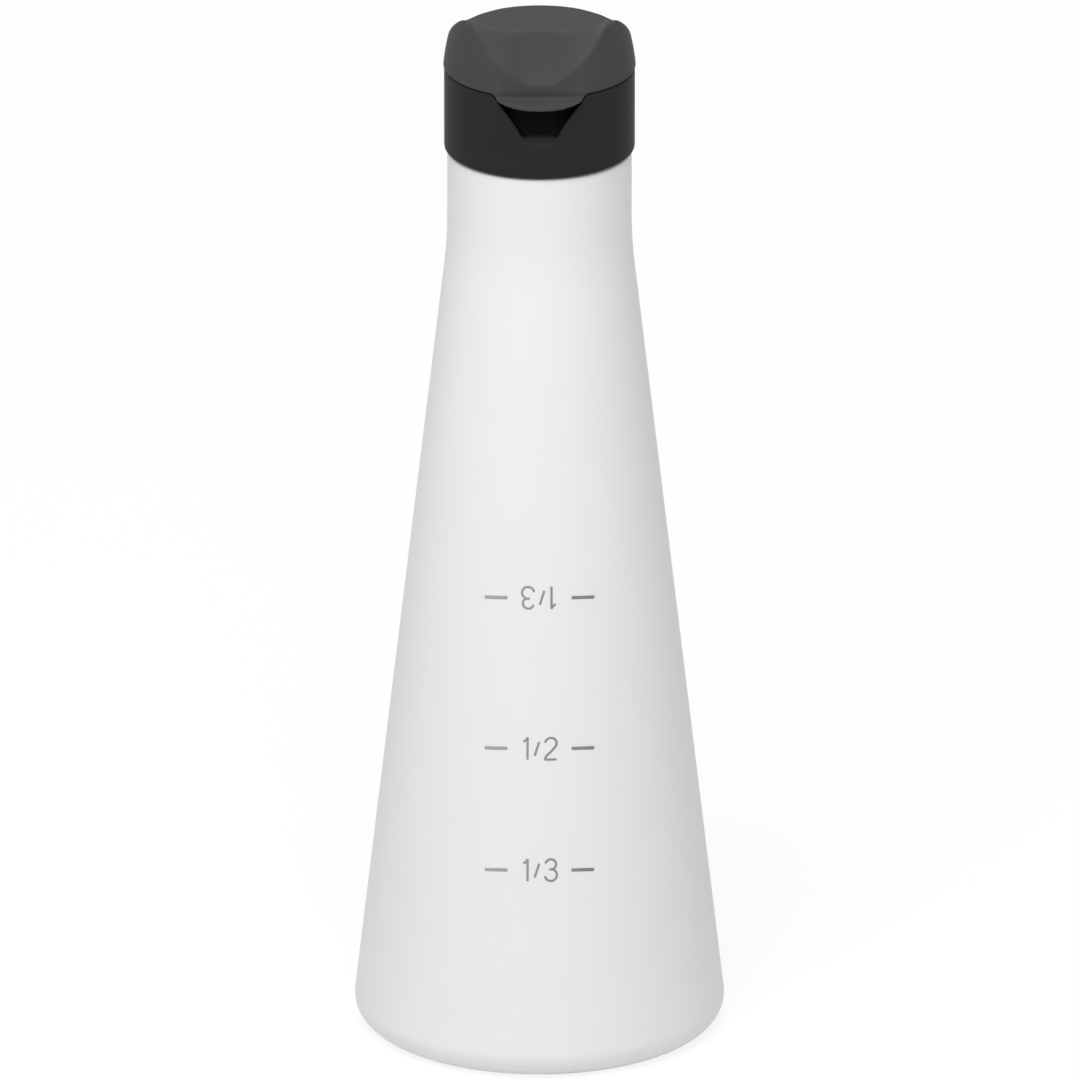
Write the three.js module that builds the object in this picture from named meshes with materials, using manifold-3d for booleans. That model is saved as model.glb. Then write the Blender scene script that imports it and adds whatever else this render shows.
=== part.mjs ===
// Squeeze applicator bottle with a screw-on flip-top cap.
// Millimetres, +Z up. The origin is the middle of the base, on the surface the bottle stands on.
// The front (thumb lip, thumb recess, graduations) faces -Y and the lid's hinge is at the back, +Y.

import * as THREE from "three";
import { mergeVertices } from "three/addons/utils/BufferGeometryUtils.js";
import Module from "manifold-3d";

const wasm = await Module();
wasm.setup();

// Fineness of the round faces
const ROUND_SEGMENTS = 48;
const CURVE_POINTS = 4;
const LID_GRID = 22;

// Clearances between pieces
const CLEARANCE = 0.3;
const SPLIT_GAP = 0.3;

// Bottle body
const BASE_RADIUS = 32.5;
const HEEL_RADIUS = 4.5;
const STAND_RING_WIDTH = 4;
const PUSH_UP = 3;
const BODY_WALL = 1.1;
const CONE_HEIGHT = 146.1;
const BLEND_LENGTH = 5;
const SHOULDER_HEIGHT = 163.1;
const SHOULDER_EDGE = 0.8;

// Bottle neck finish
const NECK_RADIUS = 12.6;
const NECK_HEIGHT = 11.6;
const NECK_WALL = 1.6;
const NECK_FLARE = 3;
const RIM_CHAMFER = 0.4;

// Cap base, outwards from the neck
const THREAD_ROOM = 1.35;
const SKIRT_WALL = 1;
const SKIRT_GAP = 0.75;
const CAP_WALL = 1;
const CAP_OVERHANG = 0.55;
const CAP_EDGE = 0.7;
const SKIRT_RISE = 1.5;
const DECK_THICKNESS = 1.4;
const DECK_RECESS = 2;
const PLUG_DEPTH = 2.3;
const PLUG_WALL = 0.9;
const PLUG_TAPER = 0.2;

// Spout on the deck
const ORIFICE_RADIUS = 1.6;
const SPOUT_TIP_WALL = 1.1;
const SPOUT_FOOT_RADIUS = 4.2;
const SPOUT_RISE = 1.3;

// Thumb recess in the front of the cap base
const RECESS_DEPTH = 2;
const RECESS_HEIGHT = 8.4;
const RECESS_KNEE_HEIGHT = 6.6;
const RECESS_HALF_WIDTH = 8.5;
const RECESS_KNEE_HALF_WIDTH = 3.4;
const RECESS_STRAIGHT = 1.5;
const RECESS_WALL = 1;
const RECESS_TIP_PULL = 0.9;
const RECESS_BOW = 0.9;
const RECESS_BOW_RISE = 0.45;

// Lid
const LID_OVERHANG = 0.15;
const LID_TAPER = 2.2;
const LID_LEAN_HEIGHT = 3.2;
const LID_WALL = 1.2;
const PLATEAU_HEIGHT = 5.4;
const PLATEAU_DROP = 0.4;
const PLATEAU_HALF_WIDTH = 12;
const EAR_HEIGHT = 10.6;
const SCOOP_FRONT_HEIGHT = 1.9;
const CREASE_BEHIND_AXIS = 2.9;
const EAR_BEFORE_AXIS = 4.7;
const SCOOP_FRONT_HALF_WIDTH = 11.2;
const SCOOP_BACK_HALF_WIDTH = 12.8;
const SCOOP_FLOOR_POWER = 1.7;
const SCOOP_SIDE_POWER = 1.9;
const SCOOP_SPREAD = 1.2;
const SCOOP_SOFTNESS = 0.5;
const FACET_DEPTH = 1.6;
const SEAL_PIN_RADIUS = 1.3;
const SEAL_PIN_DEPTH = 1.5;
const SEAL_RING_RADIUS = 5.5;
const SEAL_RING_WALL = 0.8;
const SEAL_RING_DEPTH = 0.4;

// Thumb lip of the lid
const LIP_REACH = 2.1;
const LIP_HALF_WIDTH = 8.2;
const LIP_THICKNESS = 1.25;
const LIP_EDGE_THICKNESS = 0.7;

// Living hinge at the back
const HINGE_INSET = 0.5;
const HINGE_WIDTH = 10.6;
const HINGE_LEAF = 0.5;
const HINGE_BEAD_RADIUS = 0.35;
const HINGE_NOTCH_HALF_HEIGHT = 3;
const HINGE_BACKING = 1.3;

// Levels
const NECK_TOP = SHOULDER_HEIGHT + NECK_HEIGHT;
const CAP_BOTTOM = SHOULDER_HEIGHT + CLEARANCE;
const DECK_BOTTOM = NECK_TOP + CLEARANCE;
const DECK_TOP = DECK_BOTTOM + DECK_THICKNESS;
const SPLIT = DECK_TOP + DECK_RECESS;
const CAP_RIM = SPLIT - SPLIT_GAP / 2;
const LID_BOTTOM = SPLIT + SPLIT_GAP / 2;

// Radii
const SKIRT_BORE = NECK_RADIUS + THREAD_ROOM;
const SKIRT_RADIUS = SKIRT_BORE + SKIRT_WALL;
const CAP_INNER_RADIUS = SKIRT_RADIUS + SKIRT_GAP;
const CAP_RADIUS = CAP_INNER_RADIUS + CAP_WALL;
const UPPER_BODY_RADIUS = CAP_RADIUS - CAP_OVERHANG;
const NECK_BORE = NECK_RADIUS - NECK_WALL;
const LID_RADIUS = CAP_RADIUS + LID_OVERHANG;
const RECESS_RADIUS = CAP_RADIUS - RECESS_DEPTH;

// Depths along Y
const FACET_Y = -(CAP_RADIUS - FACET_DEPTH);
const HINGE_Y = CAP_RADIUS - HINGE_INSET;
const NOTCH_Y = HINGE_Y - HINGE_LEAF / 2 - CLEARANCE;
const CREASE_Y = CREASE_BEHIND_AXIS;
const EAR_Y = -EAR_BEFORE_AXIS;

// Reach of the cutting bodies beyond what they cut
const BEYOND = 5;
const BLOCK_MARGIN = 0.5;

// Probes round a point of the lid's ceiling, and how far it stays below the lowest of them
const CEILING_PROBES = 8;
const CEILING_MARGIN = 0.3;

const MATERIALS = {
  bottle: new THREE.MeshStandardMaterial({ color: 0xe6e6e6, roughness: 0.45, metalness: 0 }),
  capBase: new THREE.MeshStandardMaterial({ color: 0x1b1b1b, roughness: 0.5, metalness: 0 }),
  hinge: new THREE.MeshStandardMaterial({ color: 0x202020, roughness: 0.5, metalness: 0 }),
  lid: new THREE.MeshStandardMaterial({ color: 0x1e1e1e, roughness: 0.5, metalness: 0 }),
};

// A geometry as a solid that can be cut and joined
function solidOf(geometry) {
  const bare = geometry.clone();
  bare.deleteAttribute("normal");
  bare.deleteAttribute("uv");
  const merged = mergeVertices(bare, 1e-4);
  return new wasm.Manifold(
    new wasm.Mesh({
      numProp: 3,
      vertProperties: new Float32Array(merged.attributes.position.array),
      triVerts: new Uint32Array(merged.index.array),
    }),
  );
}

// A solid as a geometry that a mesh can show
function geometryOf(solid) {
  const mesh = solid.getMesh();
  const geometry = new THREE.BufferGeometry();
  geometry.setAttribute("position", new THREE.BufferAttribute(mesh.vertProperties, 3));
  geometry.setIndex(new THREE.BufferAttribute(mesh.triVerts, 1));
  geometry.computeVertexNormals();
  return geometry;
}

// A profile of (radius, height) points turned about Z
function turned(path) {
  const geometry = new THREE.LatheGeometry(path.getPoints(CURVE_POINTS), ROUND_SEGMENTS);
  return geometry.rotateX(Math.PI / 2);
}

// A straight-sided round body between two heights
function roundBody(radius, low, high) {
  const path = new THREE.Path();
  path.moveTo(0, low);
  path.lineTo(radius, low);
  path.lineTo(radius, high);
  path.lineTo(0, high);
  return solidOf(turned(path));
}

// A box between two corners
function boxBody(low, high) {
  const size = new THREE.Vector3().subVectors(high, low);
  const middle = new THREE.Vector3().addVectors(high, low).multiplyScalar(0.5);
  const geometry = new THREE.BoxGeometry(size.x, size.y, size.z);
  return solidOf(geometry.translate(middle.x, middle.y, middle.z));
}

function corner(x, y, z) {
  return new THREE.Vector3(x, y, z);
}

// The angle that the body's cone leans in by, so that it is tangent to the heel
function coneAngle() {
  const run = BASE_RADIUS - HEEL_RADIUS - UPPER_BODY_RADIUS;
  const rise = CONE_HEIGHT - HEEL_RADIUS;
  return Math.atan2(run, rise) + Math.asin(HEEL_RADIUS / Math.hypot(run, rise));
}

// Where the cone starts and ends its softened meeting with the straight upper body,
// for the outside (inset 0) or for the inside (inset the wall)
function conePoints(inset) {
  const angle = coneAngle();
  const arc = HEEL_RADIUS - inset;
  const middle = BASE_RADIUS - HEEL_RADIUS;
  const radius = UPPER_BODY_RADIUS - inset;
  const meet = CONE_HEIGHT - inset * Math.tan(angle / 2);
  return {
    angle,
    foot: [middle + arc * Math.cos(angle), HEEL_RADIUS + arc * Math.sin(angle)],
    blendLow: [radius + BLEND_LENGTH * Math.sin(angle), meet - BLEND_LENGTH * Math.cos(angle)],
    meet: [radius, meet],
    blendHigh: [radius, meet + BLEND_LENGTH],
  };
}

function bottleGeometry() {
  const heelMiddle = BASE_RADIUS - HEEL_RADIUS;
  const ringInner = heelMiddle - STAND_RING_WIDTH;
  const outside = conePoints(0);
  const inside = conePoints(BODY_WALL);
  const innerHeel = HEEL_RADIUS - BODY_WALL;
  const innerRadius = UPPER_BODY_RADIUS - BODY_WALL;
  const path = new THREE.Path();
  path.moveTo(0, PUSH_UP);
  path.quadraticCurveTo(ringInner / 2, PUSH_UP, ringInner, 0);
  path.lineTo(heelMiddle, 0);
  path.absarc(heelMiddle, HEEL_RADIUS, HEEL_RADIUS, -Math.PI / 2, outside.angle, false);
  path.lineTo(...outside.blendLow);
  path.quadraticCurveTo(...outside.meet, ...outside.blendHigh);
  path.lineTo(UPPER_BODY_RADIUS, SHOULDER_HEIGHT - SHOULDER_EDGE);
  path.quadraticCurveTo(
    UPPER_BODY_RADIUS,
    SHOULDER_HEIGHT,
    UPPER_BODY_RADIUS - SHOULDER_EDGE,
    SHOULDER_HEIGHT,
  );
  path.lineTo(NECK_RADIUS, SHOULDER_HEIGHT);
  path.lineTo(NECK_RADIUS, NECK_TOP - RIM_CHAMFER);
  path.lineTo(NECK_RADIUS - RIM_CHAMFER, NECK_TOP);
  path.lineTo(NECK_BORE, NECK_TOP);
  path.lineTo(NECK_BORE, SHOULDER_HEIGHT - BODY_WALL);
  path.quadraticCurveTo(
    innerRadius,
    SHOULDER_HEIGHT - BODY_WALL,
    innerRadius,
    SHOULDER_HEIGHT - BODY_WALL - NECK_FLARE,
  );
  path.lineTo(...inside.blendHigh);
  path.quadraticCurveTo(...inside.meet, ...inside.blendLow);
  path.lineTo(...inside.foot);
  path.absarc(heelMiddle, HEEL_RADIUS, innerHeel, inside.angle, -Math.PI / 2, true);
  path.lineTo(ringInner, BODY_WALL);
  path.quadraticCurveTo(ringInner / 2, PUSH_UP + BODY_WALL, 0, PUSH_UP + BODY_WALL);
  return turned(path);
}

// The whole section of the cap base: spout, deck, rim, outer wall, threaded skirt, neck plug
function capSection() {
  const spoutTop = SPLIT + SPOUT_RISE;
  const plugRadius = NECK_BORE - CLEARANCE;
  const plugBottom = DECK_BOTTOM - PLUG_DEPTH;
  const path = new THREE.Path();
  path.moveTo(ORIFICE_RADIUS, DECK_BOTTOM);
  path.lineTo(plugRadius - PLUG_WALL, DECK_BOTTOM);
  path.lineTo(plugRadius - PLUG_WALL, plugBottom);
  path.lineTo(plugRadius - PLUG_TAPER, plugBottom);
  path.lineTo(plugRadius, DECK_BOTTOM);
  path.lineTo(SKIRT_BORE, DECK_BOTTOM);
  path.lineTo(SKIRT_BORE, CAP_BOTTOM + SKIRT_RISE);
  path.lineTo(SKIRT_RADIUS, CAP_BOTTOM + SKIRT_RISE);
  path.lineTo(SKIRT_RADIUS, DECK_BOTTOM);
  path.lineTo(CAP_INNER_RADIUS, DECK_BOTTOM);
  path.lineTo(CAP_INNER_RADIUS, CAP_BOTTOM);
  path.lineTo(CAP_RADIUS - CAP_EDGE, CAP_BOTTOM);
  path.quadraticCurveTo(CAP_RADIUS, CAP_BOTTOM, CAP_RADIUS, CAP_BOTTOM + CAP_EDGE);
  path.lineTo(CAP_RADIUS, CAP_RIM);
  path.lineTo(CAP_INNER_RADIUS, CAP_RIM);
  path.lineTo(CAP_INNER_RADIUS, DECK_TOP);
  path.lineTo(SPOUT_FOOT_RADIUS, DECK_TOP);
  path.lineTo(ORIFICE_RADIUS + SPOUT_TIP_WALL, spoutTop);
  path.lineTo(ORIFICE_RADIUS, spoutTop);
  path.lineTo(ORIFICE_RADIUS, DECK_BOTTOM);
  return solidOf(turned(path));
}

// The recess's outline in the front view, grown by a margin, cut straight back along Y
function recessPrism(margin) {
  const top = SPLIT + BEYOND;
  const half = RECESS_HALF_WIDTH + margin;
  const knee = RECESS_KNEE_HALF_WIDTH + margin;
  const straight = SPLIT - RECESS_STRAIGHT;
  const kneeHeight = SPLIT - RECESS_KNEE_HEIGHT - margin / 2;
  const bottom = SPLIT - RECESS_HEIGHT - margin;
  const bend = (half + knee) / 2 - RECESS_BOW;
  const bendHeight = (straight + kneeHeight) / 2 + RECESS_BOW_RISE;
  const tip = knee * RECESS_TIP_PULL;
  const shape = new THREE.Shape();
  shape.moveTo(-half, top);
  shape.lineTo(-half, straight);
  shape.quadraticCurveTo(-bend, bendHeight, -knee, kneeHeight);
  shape.quadraticCurveTo(-tip, bottom, 0, bottom);
  shape.quadraticCurveTo(tip, bottom, knee, kneeHeight);
  shape.quadraticCurveTo(bend, bendHeight, half, straight);
  shape.lineTo(half, top);
  const geometry = new THREE.ExtrudeGeometry(shape, {
    depth: LID_RADIUS + BEYOND,
    bevelEnabled: false,
    curveSegments: CURVE_POINTS,
  });
  return solidOf(geometry.rotateX(Math.PI / 2));
}

// The notch behind the hinge line, in the cap base and the lid alike
function hingeNotch() {
  const half = HINGE_WIDTH / 2 + CLEARANCE;
  return boxBody(
    corner(-half, NOTCH_Y, SPLIT - HINGE_NOTCH_HALF_HEIGHT),
    corner(half, NOTCH_Y + BEYOND, SPLIT + HINGE_NOTCH_HALF_HEIGHT),
  );
}

// The wall that backs the notch in the cap base
function hingeBacking() {
  const half = HINGE_WIDTH / 2 + CLEARANCE + HINGE_BACKING;
  const low = SPLIT - HINGE_NOTCH_HALF_HEIGHT - HINGE_BACKING;
  const block = boxBody(
    corner(-half, NOTCH_Y - HINGE_BACKING, low),
    corner(half, CAP_RADIUS, CAP_RIM),
  );
  return block.intersect(roundBody(CAP_RADIUS - CAP_WALL / 2, low - BEYOND, SPLIT));
}

function capBaseGeometry() {
  const surroundOuter = roundBody(
    CAP_RADIUS - CAP_WALL / 2,
    CAP_BOTTOM + RECESS_WALL,
    DECK_TOP - DECK_THICKNESS / 2,
  );
  const surroundInner = roundBody(
    (SKIRT_BORE + RECESS_RADIUS) / 2,
    CAP_BOTTOM - BEYOND,
    SPLIT + BEYOND,
  );
  const surround = recessPrism(RECESS_WALL).intersect(surroundOuter).subtract(surroundInner);
  const recess = recessPrism(0).subtract(
    roundBody(RECESS_RADIUS, CAP_BOTTOM - BEYOND, SPLIT + 2 * BEYOND),
  );
  return geometryOf(
    capSection().add(surround).add(hingeBacking()).subtract(recess).subtract(hingeNotch()),
  );
}

function softMin(a, b, softness) {
  return (a + b - Math.hypot(a - b, softness)) / 2;
}

// Height of the lid's top above the split at a point of its plan: a low flat at the back,
// two ears at the front sides, and between them a scoop that runs down to the front
function lidTop(x, y) {
  const off = Math.min(1, Math.abs(x) / PLATEAU_HALF_WIDTH);
  const plateau = PLATEAU_HEIGHT - PLATEAU_DROP * off ** 3;
  if (y >= CREASE_Y) return plateau;
  const slope = (EAR_HEIGHT - PLATEAU_HEIGHT) / (CREASE_Y - EAR_Y);
  const wedge = Math.min(EAR_HEIGHT, plateau + (CREASE_Y - y) * slope);
  const along = Math.max(0, (y - FACET_Y) / (CREASE_Y - FACET_Y));
  const floor = SCOOP_FRONT_HEIGHT + (plateau - SCOOP_FRONT_HEIGHT) * along ** SCOOP_FLOOR_POWER;
  const halfWidth =
    SCOOP_FRONT_HALF_WIDTH + (SCOOP_BACK_HALF_WIDTH - SCOOP_FRONT_HALF_WIDTH) * along;
  const across = Math.min(Math.abs(x) / halfWidth, SCOOP_SPREAD);
  const scoop = floor + (EAR_HEIGHT - floor) * across ** SCOOP_SIDE_POWER;
  return softMin(wedge, scoop, SCOOP_SOFTNESS * Math.min(1, (CREASE_Y - y) / LID_WALL));
}

// Height of the hollow's ceiling: the top lowered by one wall, measured square to the surface
function lidCeiling(x, y) {
  let lowest = lidTop(x, y) - LID_WALL;
  for (let probe = 0; probe < CEILING_PROBES; probe++) {
    const angle = (2 * Math.PI * probe) / CEILING_PROBES;
    const near = lidTop(x + LID_WALL * Math.cos(angle), y + LID_WALL * Math.sin(angle));
    lowest = Math.min(lowest, near - CEILING_MARGIN);
  }
  return lowest;
}

// A block over the lid's plan, flat below, with its top shaped by a height above the split
function shapedBlock(height, bottom) {
  const width = 2 * (LID_RADIUS + BLOCK_MARGIN);
  const block = new THREE.BoxGeometry(width, width, 2, LID_GRID, LID_GRID, 1);
  const position = block.getAttribute("position");
  for (let i = 0; i < position.count; i++) {
    const isTop = position.getZ(i) > 0;
    position.setZ(i, isTop ? SPLIT + height(position.getX(i), position.getY(i)) : bottom);
  }
  return solidOf(block);
}

// The lid's outside before its top is shaped
function lidEnvelope() {
  const top = SPLIT + EAR_HEIGHT;
  const path = new THREE.Path();
  path.moveTo(0, LID_BOTTOM);
  path.lineTo(LID_RADIUS, LID_BOTTOM);
  path.quadraticCurveTo(LID_RADIUS, SPLIT + LID_LEAN_HEIGHT, LID_RADIUS - LID_TAPER, top);
  path.lineTo(0, top);
  return solidOf(turned(path));
}

// The hollow under the lid, flat behind the front facet and before the hinge notch
function lidHollow() {
  const low = LID_BOTTOM - BEYOND;
  const span = boxBody(
    corner(-LID_RADIUS, FACET_Y + LID_WALL, low),
    corner(LID_RADIUS, NOTCH_Y - HINGE_BACKING, SPLIT + EAR_HEIGHT),
  );
  const path = new THREE.Path();
  path.moveTo(0, low);
  path.lineTo(LID_RADIUS - LID_WALL, low);
  path.lineTo(LID_RADIUS - LID_WALL, SPLIT);
  path.quadraticCurveTo(
    LID_RADIUS - LID_WALL,
    SPLIT + LID_LEAN_HEIGHT,
    LID_RADIUS - LID_TAPER - LID_WALL,
    SPLIT + EAR_HEIGHT,
  );
  path.lineTo(0, SPLIT + EAR_HEIGHT);
  return solidOf(turned(path)).intersect(span).intersect(shapedBlock(lidCeiling, low));
}

// Plan of the lip: an arc through its two corners and its foremost point
function lipOutline() {
  const front = CAP_RADIUS + LIP_REACH;
  const back = Math.sqrt(CAP_RADIUS ** 2 - LIP_HALF_WIDTH ** 2);
  const sag = front - back;
  const radius = (LIP_HALF_WIDTH ** 2 + sag ** 2) / (2 * sag);
  const spread = Math.asin(Math.min(1, LIP_HALF_WIDTH / radius));
  const shape = new THREE.Shape();
  shape.moveTo(-LIP_HALF_WIDTH, -back);
  shape.absarc(0, radius - front, radius, -Math.PI / 2 - spread, -Math.PI / 2 + spread, false);
  shape.closePath();
  return shape;
}

// The lip, its top falling away towards its edge, and the apron that carries it below the split
function lidLip() {
  const bottom = SPLIT - DECK_RECESS + CLEARANCE;
  const wallFront = -FACET_Y;
  const fall = (LIP_THICKNESS - LIP_EDGE_THICKNESS) / (CAP_RADIUS + LIP_REACH - wallFront);
  const plate = new THREE.ExtrudeGeometry(lipOutline(), {
    depth: LIP_THICKNESS,
    bevelEnabled: false,
    curveSegments: 2 * CURVE_POINTS,
  });
  const position = plate.getAttribute("position");
  for (let i = 0; i < position.count; i++) {
    const out = Math.max(0, -position.getY(i) - wallFront);
    if (position.getZ(i) > LIP_THICKNESS / 2) position.setZ(i, LIP_THICKNESS - out * fall);
  }
  const apron = boxBody(
    corner(-LIP_HALF_WIDTH, FACET_Y, bottom),
    corner(LIP_HALF_WIDTH, FACET_Y + LID_WALL, LID_BOTTOM + LID_WALL / 2),
  ).intersect(roundBody(CAP_RADIUS, bottom - BEYOND, SPLIT + BEYOND));
  return solidOf(plate.translate(0, 0, bottom)).add(apron);
}

// The pin that shuts the orifice and the ring that closes round the spout
function lidSeals() {
  const pin = roundBody(SEAL_PIN_RADIUS, SPLIT - SEAL_PIN_DEPTH, SPLIT + EAR_HEIGHT);
  const ring = roundBody(SEAL_RING_RADIUS, SPLIT - SEAL_RING_DEPTH, SPLIT + EAR_HEIGHT).subtract(
    roundBody(SEAL_RING_RADIUS - SEAL_RING_WALL, SPLIT - BEYOND, SPLIT + 2 * EAR_HEIGHT),
  );
  const underTop = (x, y) => lidTop(x, y) - LID_WALL / 2;
  return pin.add(ring).intersect(shapedBlock(underTop, SPLIT - BEYOND));
}

function lidGeometry() {
  const facet = boxBody(
    corner(-LID_RADIUS, FACET_Y - BEYOND, LID_BOTTOM - BEYOND),
    corner(LID_RADIUS, FACET_Y, SPLIT + EAR_HEIGHT + BEYOND),
  );
  const shell = lidEnvelope()
    .intersect(shapedBlock(lidTop, SPLIT - BEYOND))
    .subtract(lidHollow())
    .subtract(facet);
  return geometryOf(shell.add(lidSeals()).add(lidLip()).subtract(hingeNotch()));
}

// The film along the hinge line: a leaf in the cap base's notch with a bead on the axis
function hingeGeometry() {
  const low = SPLIT - HINGE_NOTCH_HALF_HEIGHT + CLEARANCE;
  const half = HINGE_LEAF / 2;
  const start = Math.asin(half / HINGE_BEAD_RADIUS);
  const shape = new THREE.Shape();
  shape.moveTo(HINGE_Y - half, low);
  shape.lineTo(HINGE_Y + half, low);
  shape.absarc(HINGE_Y, SPLIT, HINGE_BEAD_RADIUS, start - Math.PI / 2, Math.PI * 1.5 - start, false);
  shape.closePath();
  const geometry = new THREE.ExtrudeGeometry(shape, {
    depth: HINGE_WIDTH,
    bevelEnabled: false,
    curveSegments: 3 * CURVE_POINTS,
  });
  return geometry.rotateX(Math.PI / 2).rotateZ(Math.PI / 2).translate(-HINGE_WIDTH / 2, 0, 0);
}

function piece(name, geometry, material) {
  const mesh = new THREE.Mesh(geometry, material);
  mesh.name = name;
  return mesh;
}

const cap = new THREE.Group();
cap.add(piece("cap_base", capBaseGeometry(), MATERIALS.capBase));
cap.add(piece("living_hinge", hingeGeometry(), MATERIALS.hinge));
cap.add(piece("flip_lid", lidGeometry(), MATERIALS.lid));

const applicatorBottle = new THREE.Group();
applicatorBottle.add(piece("bottle", bottleGeometry(), MATERIALS.bottle));
applicatorBottle.add(cap);

export default applicatorBottle;
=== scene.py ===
"""Dresses the applicator bottle: a conical squeeze bottle with fill marks and a black flip-top cap.

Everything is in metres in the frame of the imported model: +Z up, the front with the thumb lip and
the fill marks towards -Y, the lid's hinge towards +Y. Rules of shape are written in millimetres
inside the node trees, and the result is scaled back to metres.
"""

import logging
import math
from dataclasses import dataclass, field
from enum import Enum
from typing import Callable, Iterable, Sequence, Union

import bmesh
import bpy
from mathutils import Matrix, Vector


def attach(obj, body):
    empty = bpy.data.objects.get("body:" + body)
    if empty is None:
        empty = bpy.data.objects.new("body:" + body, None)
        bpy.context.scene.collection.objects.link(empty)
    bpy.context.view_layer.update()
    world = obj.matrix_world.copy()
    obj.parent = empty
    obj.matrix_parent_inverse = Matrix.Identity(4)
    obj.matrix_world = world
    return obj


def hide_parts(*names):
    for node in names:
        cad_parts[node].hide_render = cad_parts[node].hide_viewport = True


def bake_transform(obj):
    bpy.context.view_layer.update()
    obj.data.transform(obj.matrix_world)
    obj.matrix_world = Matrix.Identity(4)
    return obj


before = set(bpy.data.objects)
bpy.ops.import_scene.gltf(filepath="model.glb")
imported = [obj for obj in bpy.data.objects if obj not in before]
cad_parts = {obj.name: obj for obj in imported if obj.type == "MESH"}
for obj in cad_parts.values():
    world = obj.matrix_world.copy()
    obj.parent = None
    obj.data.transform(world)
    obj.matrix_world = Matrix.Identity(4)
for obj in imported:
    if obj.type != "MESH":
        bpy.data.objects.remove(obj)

LOG = logging.getLogger("applicator_bottle")

MM = 0.001

Point = tuple[float, float]
Colour = tuple[float, float, float]
Number = Union[int, float]


class Body(Enum):
    """The three bodies that move against each other."""

    BOTTLE = "bottle_body"
    CAP = "cap_body"
    LID = "lid_body"


class Slot(Enum):
    """The record's material slots."""

    BOTTLE = "bottle_plastic"
    CAP = "cap_plastic"
    LID = "lid_plastic"
    INK = "mark_ink"


def operator(operation: str, swapped: bool = False) -> Callable[["Socket", "Value"], "Socket"]:
    """One of Socket's two-sided operators, swapped where the Socket is the right-hand side."""

    def method(self: "Socket", other: "Value") -> "Socket":
        """Adds the Math node."""
        return self.net.maths(operation, *((other, self) if swapped else (self, other)))

    return method


class Socket:
    """A node's output whose sums are written as Python expressions."""

    def __init__(self, net: "Net", link: bpy.types.NodeSocket) -> None:
        """Keeps the output and the net that new Math nodes are added to."""
        self.net = net
        self.link = link

    __add__ = operator("ADD")
    __radd__ = operator("ADD", swapped=True)
    __sub__ = operator("SUBTRACT")
    __rsub__ = operator("SUBTRACT", swapped=True)
    __mul__ = operator("MULTIPLY")
    __rmul__ = operator("MULTIPLY", swapped=True)
    __truediv__ = operator("DIVIDE")
    __pow__ = operator("POWER")

    def __neg__(self) -> "Socket":
        """0 - self."""
        return self.net.maths("MULTIPLY", self, -1.0)

    def __abs__(self) -> "Socket":
        """The size of self without its sign."""
        return self.net.maths("ABSOLUTE", self)

    def share(self) -> "Socket":
        """self, kept between 0 and 1."""
        return least(greatest(self, 0.0), 1.0)


Value = Union[Socket, Number]


class Net:
    """A node tree and the one way in which nodes are added to it."""

    def __init__(self, tree: bpy.types.NodeTree) -> None:
        """Starts on an emptied shader or geometry tree."""
        self.tree = tree
        tree.nodes.clear()

    def node(
        self,
        kind: str,
        settings: dict[str, object] | None = None,
        inputs: dict[str | int, object] | None = None,
    ) -> bpy.types.Node:
        """Adds one node.

        Args:
            kind: the node's type name.
            settings: what is set on the node before its sockets.
            inputs: values or links by socket name or number.

        Returns:
            The new node.
        """
        made = self.tree.nodes.new(kind)
        for name, value in (settings or {}).items():
            setattr(made, name, value)
        for key, value in (inputs or {}).items():
            if isinstance(value, Socket):
                self.tree.links.new(value.link, made.inputs[key])
            else:
                made.inputs[key].default_value = value
        return made

    def out(self, made: bpy.types.Node, key: str | int = 0) -> Socket:
        """One of a node's outputs, by name or number, as a Socket."""
        return Socket(self, made.outputs[key])

    def maths(self, operation: str, *values: Value) -> Socket:
        """The result of a Math node with its inputs in order."""
        numbered = dict(enumerate(values))
        return self.out(self.node("ShaderNodeMath", {"operation": operation}, numbered))

    def ramp(self, value: Value, first: Colour, last: Colour) -> Socket:
        """The colour between two colours at a value between 0 and 1."""
        made = self.node("ShaderNodeValToRGB", None, {"Fac": value})
        for element, colour in zip(made.color_ramp.elements, (first, last)):
            element.color = (*colour, 1.0)
        return self.out(made)

    def noise(self, place: Socket, scale: float, detail: float, roughness: float) -> Socket:
        """A noise value of about 0 to 1 over a place, its scale in waves per metre."""
        inputs = {"Vector": place, "Scale": scale, "Detail": detail, "Roughness": roughness}
        return self.out(self.node("ShaderNodeTexNoise", None, inputs), "Fac")

    def in_mm(self, place: Socket) -> tuple[Socket, ...]:
        """X, Y and Z of a place given in metres, in millimetres."""
        parts = self.node("ShaderNodeSeparateXYZ", None, {0: place})
        return tuple(self.out(parts, axis) * (1.0 / MM) for axis in "XYZ")

    def looked_at(self) -> Socket:
        """1 where the camera, a gloss or a glass looks, 0 for light that only falls."""
        rays = self.node("ShaderNodeLightPath")
        kinds = ("Is Camera Ray", "Is Glossy Ray", "Is Transmission Ray")
        return greatest(*(self.out(rays, kind) for kind in kinds))


def net_of(values: Iterable[Value]) -> Net:
    """The net of the first Socket among some values."""
    return next(value.net for value in values if isinstance(value, Socket))


def folded(operation: str, values: Sequence[Value]) -> Socket:
    """One two-input operation over two or more values, one of them at least a Socket."""
    net = net_of(values)
    result = values[0]
    for value in values[1:]:
        result = net.maths(operation, result, value)
    return result


def least(*values: Value) -> Socket:
    """The smallest of some values."""
    return folded("MINIMUM", values)


def greatest(*values: Value) -> Socket:
    """The largest of some values."""
    return folded("MAXIMUM", values)


def length(x: Value, y: Value) -> Socket:
    """The length of a plane vector."""
    return net_of((x, y)).maths("SQRT", x * x + y * y)


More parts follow.
